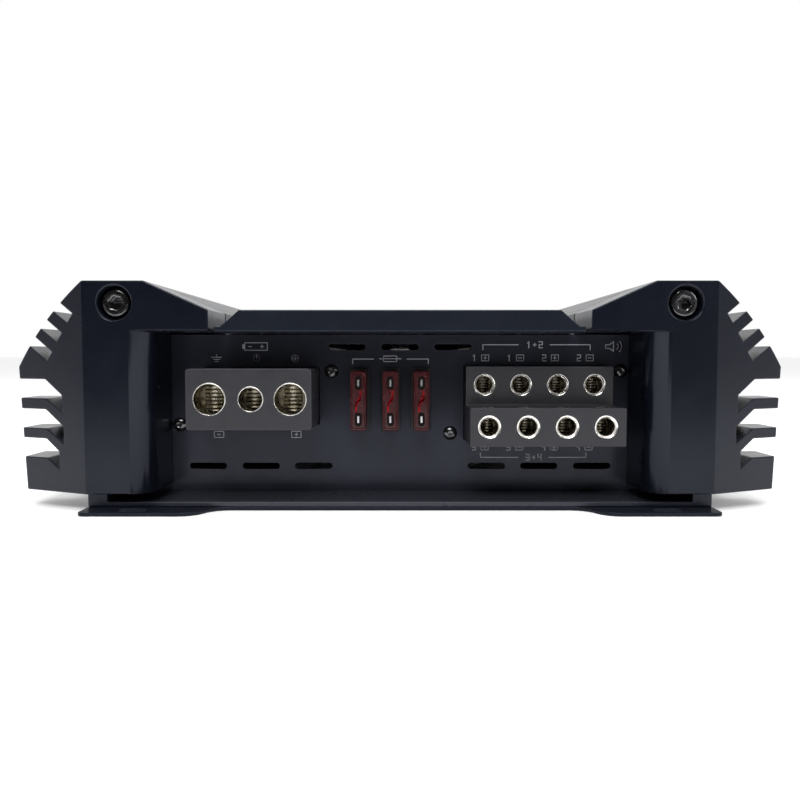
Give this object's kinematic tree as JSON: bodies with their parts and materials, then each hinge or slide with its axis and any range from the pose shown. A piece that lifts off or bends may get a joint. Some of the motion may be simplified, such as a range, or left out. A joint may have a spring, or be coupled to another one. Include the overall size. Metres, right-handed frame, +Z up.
{
  "type": "car amplifier",
  "caption": "Finned black car audio amplifier with screw-clamp power and speaker terminals, blade fuses and a level-control end.",
  "frame": {"origin": "centre of the underside of the base plate", "axes": "+Z up, -Y towards the terminal end, +X to the right seen from the terminal end"},
  "size_m": [0.2446, 0.3136, 0.0713],
  "materials": {
    "anodised_black": "satin black anodised extrusion",
    "cap_black": "satin black powder-coated casting",
    "cover_black": "satin black anodised",
    "steel_black": "satin black painted sheet steel",
    "panel_black": "fine-textured black paint with grey printed marks",
    "screw_black": "black oxide",
    "screw_steel": "zinc plated",
    "block_plastic": "dark grey moulded nylon",
    "holder_plastic": "black moulded nylon",
    "nickel": "warm nickel plating",
    "clip_brass": "tinned brass",
    "fuse_red": "translucent red",
    "fuse_metal": "tinned zinc",
    "knob_plastic": "black moulded",
    "light_lens": "clear tinted lens",
    "board_green": "glass-epoxy laminate with solder mask",
    "device_black": "moulded epoxy",
    "ferrite": "ground ferrite",
    "copper_wire": "enamelled copper",
    "can_sleeve": "shrink sleeve on aluminium can"
  },
  "bodies": {
    "chassis": {"base_plate": "steel_black", "base_screws": "screw_steel", "board_screws": "screw_steel", "board_standoffs": "screw_steel", "bottom_tray": "steel_black", "clamp_screws": "screw_steel", "control_panel": "panel_black", "control_panel_screws": "screw_black", "cover_screws": "screw_steel", "end_cap_front_left": "cap_black", "end_cap_front_right": "cap_black", "end_cap_rear_left": "cap_black", "end_cap_rear_right": "cap_black", "end_cap_screws": "screw_black", "fuse_clips": "clip_brass", "fuse_holders": "holder_plastic", "heatsink": "anodised_black", "input_capacitors": "can_sleeve", "main_board": "board_green", "output_inductors": "copper_wire", "potentiometers": "holder_plastic", "power_inserts": "nickel", "power_terminal_block": "block_plastic", "power_transistors": "device_black", "rail_capacitors": "can_sleeve", "rca_jack_block": "holder_plastic", "rca_sleeves": "nickel", "speaker_inserts": "nickel", "speaker_terminal_block": "block_plastic", "status_lights": "light_lens", "switch_bodies": "holder_plastic", "terminal_panel": "panel_black", "terminal_panel_screws": "screw_black", "top_cover": "cover_black", "transformer_core": "ferrite", "transformer_winding": "copper_wire", "transistor_clamps": "screw_steel"},
    "fuse_1": {"fuse_body_1": "fuse_red", "fuse_blades_1": "fuse_metal"},
    "fuse_2": {"fuse_body_2": "fuse_red", "fuse_blades_2": "fuse_metal"},
    "fuse_3": {"fuse_body_3": "fuse_red", "fuse_blades_3": "fuse_metal"},
    "power_clamp_screw_1": {"power_clamp_screw_1": "screw_steel"},
    "power_clamp_screw_2": {"power_clamp_screw_2": "screw_steel"},
    "power_clamp_screw_3": {"power_clamp_screw_3": "screw_steel"},
    "speaker_clamp_screw_lower_1": {"speaker_clamp_screw_lower_1": "screw_steel"},
    "speaker_clamp_screw_lower_2": {"speaker_clamp_screw_lower_2": "screw_steel"},
    "speaker_clamp_screw_lower_3": {"speaker_clamp_screw_lower_3": "screw_steel"},
    "speaker_clamp_screw_lower_4": {"speaker_clamp_screw_lower_4": "screw_steel"},
    "speaker_clamp_screw_upper_1": {"speaker_clamp_screw_upper_1": "screw_steel"},
    "speaker_clamp_screw_upper_2": {"speaker_clamp_screw_upper_2": "screw_steel"},
    "speaker_clamp_screw_upper_3": {"speaker_clamp_screw_upper_3": "screw_steel"},
    "speaker_clamp_screw_upper_4": {"speaker_clamp_screw_upper_4": "screw_steel"},
    "level_knob_1": {"level_knob_1": "knob_plastic"},
    "level_knob_2": {"level_knob_2": "knob_plastic"},
    "level_knob_3": {"level_knob_3": "knob_plastic"},
    "level_knob_4": {"level_knob_4": "knob_plastic"},
    "switch_slider_1": {"switch_slider_1": "knob_plastic"},
    "switch_slider_2": {"switch_slider_2": "knob_plastic"}
  },
  "joints": [
    {"name": "fuse_1_pull", "type": "slide", "parent": "chassis", "child": "fuse_1", "axis": [0, -1, 0], "range_m": [0, 0.02]},
    {"name": "fuse_2_pull", "type": "slide", "parent": "chassis", "child": "fuse_2", "axis": [0, -1, 0], "range_m": [0, 0.02]},
    {"name": "fuse_3_pull", "type": "slide", "parent": "chassis", "child": "fuse_3", "axis": [0, -1, 0], "range_m": [0, 0.02]},
    {"name": "power_clamp_screw_1_travel", "type": "slide", "parent": "chassis", "child": "power_clamp_screw_1", "axis": [0, 0, -1], "range_m": [0, 0.006]},
    {"name": "power_clamp_screw_2_travel", "type": "slide", "parent": "chassis", "child": "power_clamp_screw_2", "axis": [0, 0, -1], "range_m": [0, 0.006]},
    {"name": "power_clamp_screw_3_travel", "type": "slide", "parent": "chassis", "child": "power_clamp_screw_3", "axis": [0, 0, -1], "range_m": [0, 0.006]},
    {"name": "speaker_clamp_screw_lower_1_travel", "type": "slide", "parent": "chassis", "child": "speaker_clamp_screw_lower_1", "axis": [0, 0, -1], "range_m": [0, 0.003]},
    {"name": "speaker_clamp_screw_lower_2_travel", "type": "slide", "parent": "chassis", "child": "speaker_clamp_screw_lower_2", "axis": [0, 0, -1], "range_m": [0, 0.003]},
    {"name": "speaker_clamp_screw_lower_3_travel", "type": "slide", "parent": "chassis", "child": "speaker_clamp_screw_lower_3", "axis": [0, 0, -1], "range_m": [0, 0.003]},
    {"name": "speaker_clamp_screw_lower_4_travel", "type": "slide", "parent": "chassis", "child": "speaker_clamp_screw_lower_4", "axis": [0, 0, -1], "range_m": [0, 0.003]},
    {"name": "speaker_clamp_screw_upper_1_travel", "type": "slide", "parent": "chassis", "child": "speaker_clamp_screw_upper_1", "axis": [0, 0, -1], "range_m": [0, 0.003]},
    {"name": "speaker_clamp_screw_upper_2_travel", "type": "slide", "parent": "chassis", "child": "speaker_clamp_screw_upper_2", "axis": [0, 0, -1], "range_m": [0, 0.003]},
    {"name": "speaker_clamp_screw_upper_3_travel", "type": "slide", "parent": "chassis", "child": "speaker_clamp_screw_upper_3", "axis": [0, 0, -1], "range_m": [0, 0.003]},
    {"name": "speaker_clamp_screw_upper_4_travel", "type": "slide", "parent": "chassis", "child": "speaker_clamp_screw_upper_4", "axis": [0, 0, -1], "range_m": [0, 0.003]},
    {"name": "level_knob_1_turn", "type": "hinge", "parent": "chassis", "child": "level_knob_1", "pos_m": [0.026, 0.132, 0.033], "axis": [0, 1, 0], "range_deg": [-140, 140]},
    {"name": "level_knob_2_turn", "type": "hinge", "parent": "chassis", "child": "level_knob_2", "pos_m": [0.01, 0.132, 0.033], "axis": [0, 1, 0], "range_deg": [-140, 140]},
    {"name": "level_knob_3_turn", "type": "hinge", "parent": "chassis", "child": "level_knob_3", "pos_m": [-0.022, 0.132, 0.033], "axis": [0, 1, 0], "range_deg": [-140, 140]},
    {"name": "level_knob_4_turn", "type": "hinge", "parent": "chassis", "child": "level_knob_4", "pos_m": [-0.038, 0.132, 0.033], "axis": [0, 1, 0], "range_deg": [-140, 140]},
    {"name": "switch_slider_1_move", "type": "slide", "parent": "chassis", "child": "switch_slider_1", "axis": [1, 0, 0], "range_m": [-0.002, 0.002]},
    {"name": "switch_slider_2_move", "type": "slide", "parent": "chassis", "child": "switch_slider_2", "axis": [1, 0, 0], "range_m": [-0.002, 0.002]}
  ]
}
